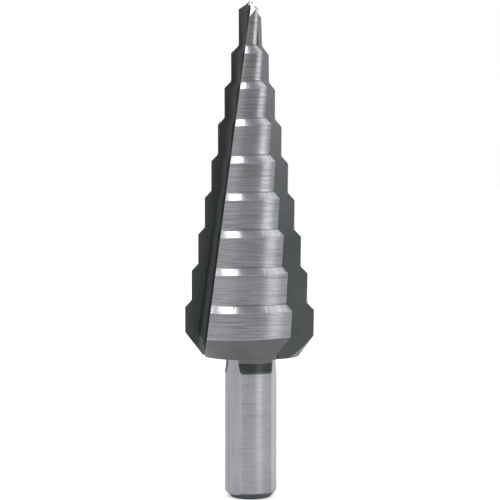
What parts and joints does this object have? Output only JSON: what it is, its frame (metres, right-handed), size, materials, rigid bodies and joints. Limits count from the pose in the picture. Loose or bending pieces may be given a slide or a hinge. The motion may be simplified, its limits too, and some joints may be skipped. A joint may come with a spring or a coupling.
{
  "type": "step drill",
  "caption": "Conical step drill bit: stepped cutting body with straight V flutes, split point, waisted neck and a short round shank with chuck flats.",
  "frame": {"origin": "centre of the flat end face of the shank, on the drill's axis", "axes": "+Z along the axis from the shank end up to the point; -Y towards the camera of the picture; +X to its right"},
  "size_m": [0.0197, 0.019, 0.075],
  "materials": {
    "ground_steel": "bright ground tool steel, darker in the flutes and the neck"
  },
  "bodies": {
    "root": {"step_drill": "ground_steel"}
  },
  "joints": []
}
